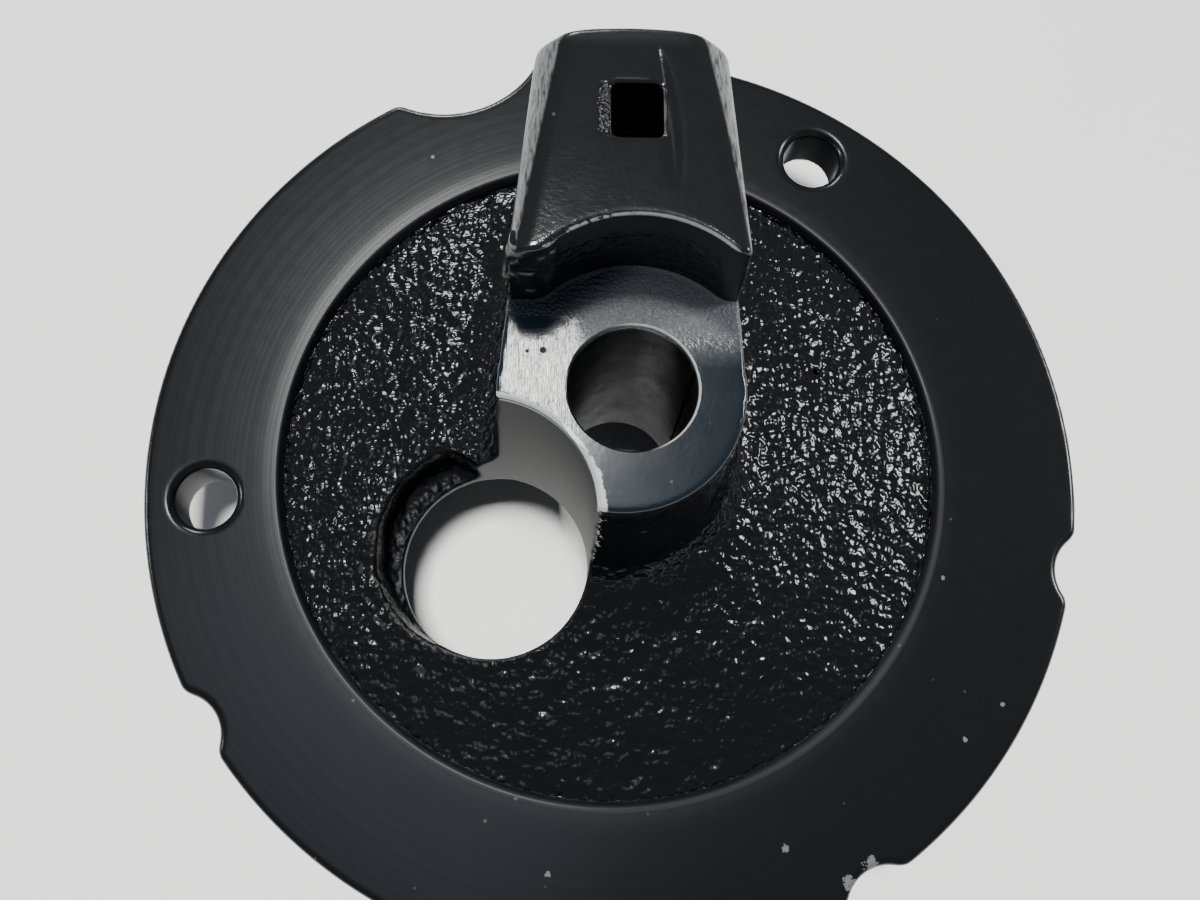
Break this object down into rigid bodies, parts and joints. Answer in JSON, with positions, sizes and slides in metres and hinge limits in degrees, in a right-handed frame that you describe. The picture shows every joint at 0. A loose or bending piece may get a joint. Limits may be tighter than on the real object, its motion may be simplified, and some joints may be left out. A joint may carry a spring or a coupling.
{
  "type": "bobbin case",
  "caption": "Enamelled cast iron bobbin case: notched round flange, hub with bored bush, raised arm with square socket, side window and rear cup.",
  "frame": {"origin": "on the bore axis, level with the machined front face of the flange", "axes": "+Z along the bore axis out of the front; +Y from the bore towards the end of the arm"},
  "size_m": [0.08, 0.08, 0.0464],
  "materials": {
    "black_enamel": "gloss black baked enamel over cast iron, rough sand-cast in the recess, turned and satin on the flange",
    "bush_steel": "dull steel, bright on its end edge",
    "spring_steel": "polished spring steel with fine lengthwise marks",
    "screw_steel": "oiled machined steel"
  },
  "bodies": {
    "case": {"case_body": "black_enamel", "hub_bush": "bush_steel", "tension_spring": "spring_steel", "spring_screw": "screw_steel"},
    "tension_screw": {"tension_screw": "screw_steel"}
  },
  "joints": [
    {"name": "tension_adjust", "type": "hinge", "parent": "case", "child": "tension_screw", "pos_m": [0.0276, 0, -0.0104], "axis": [1, 0, 0], "range_deg": [-180, 180]}
  ]
}
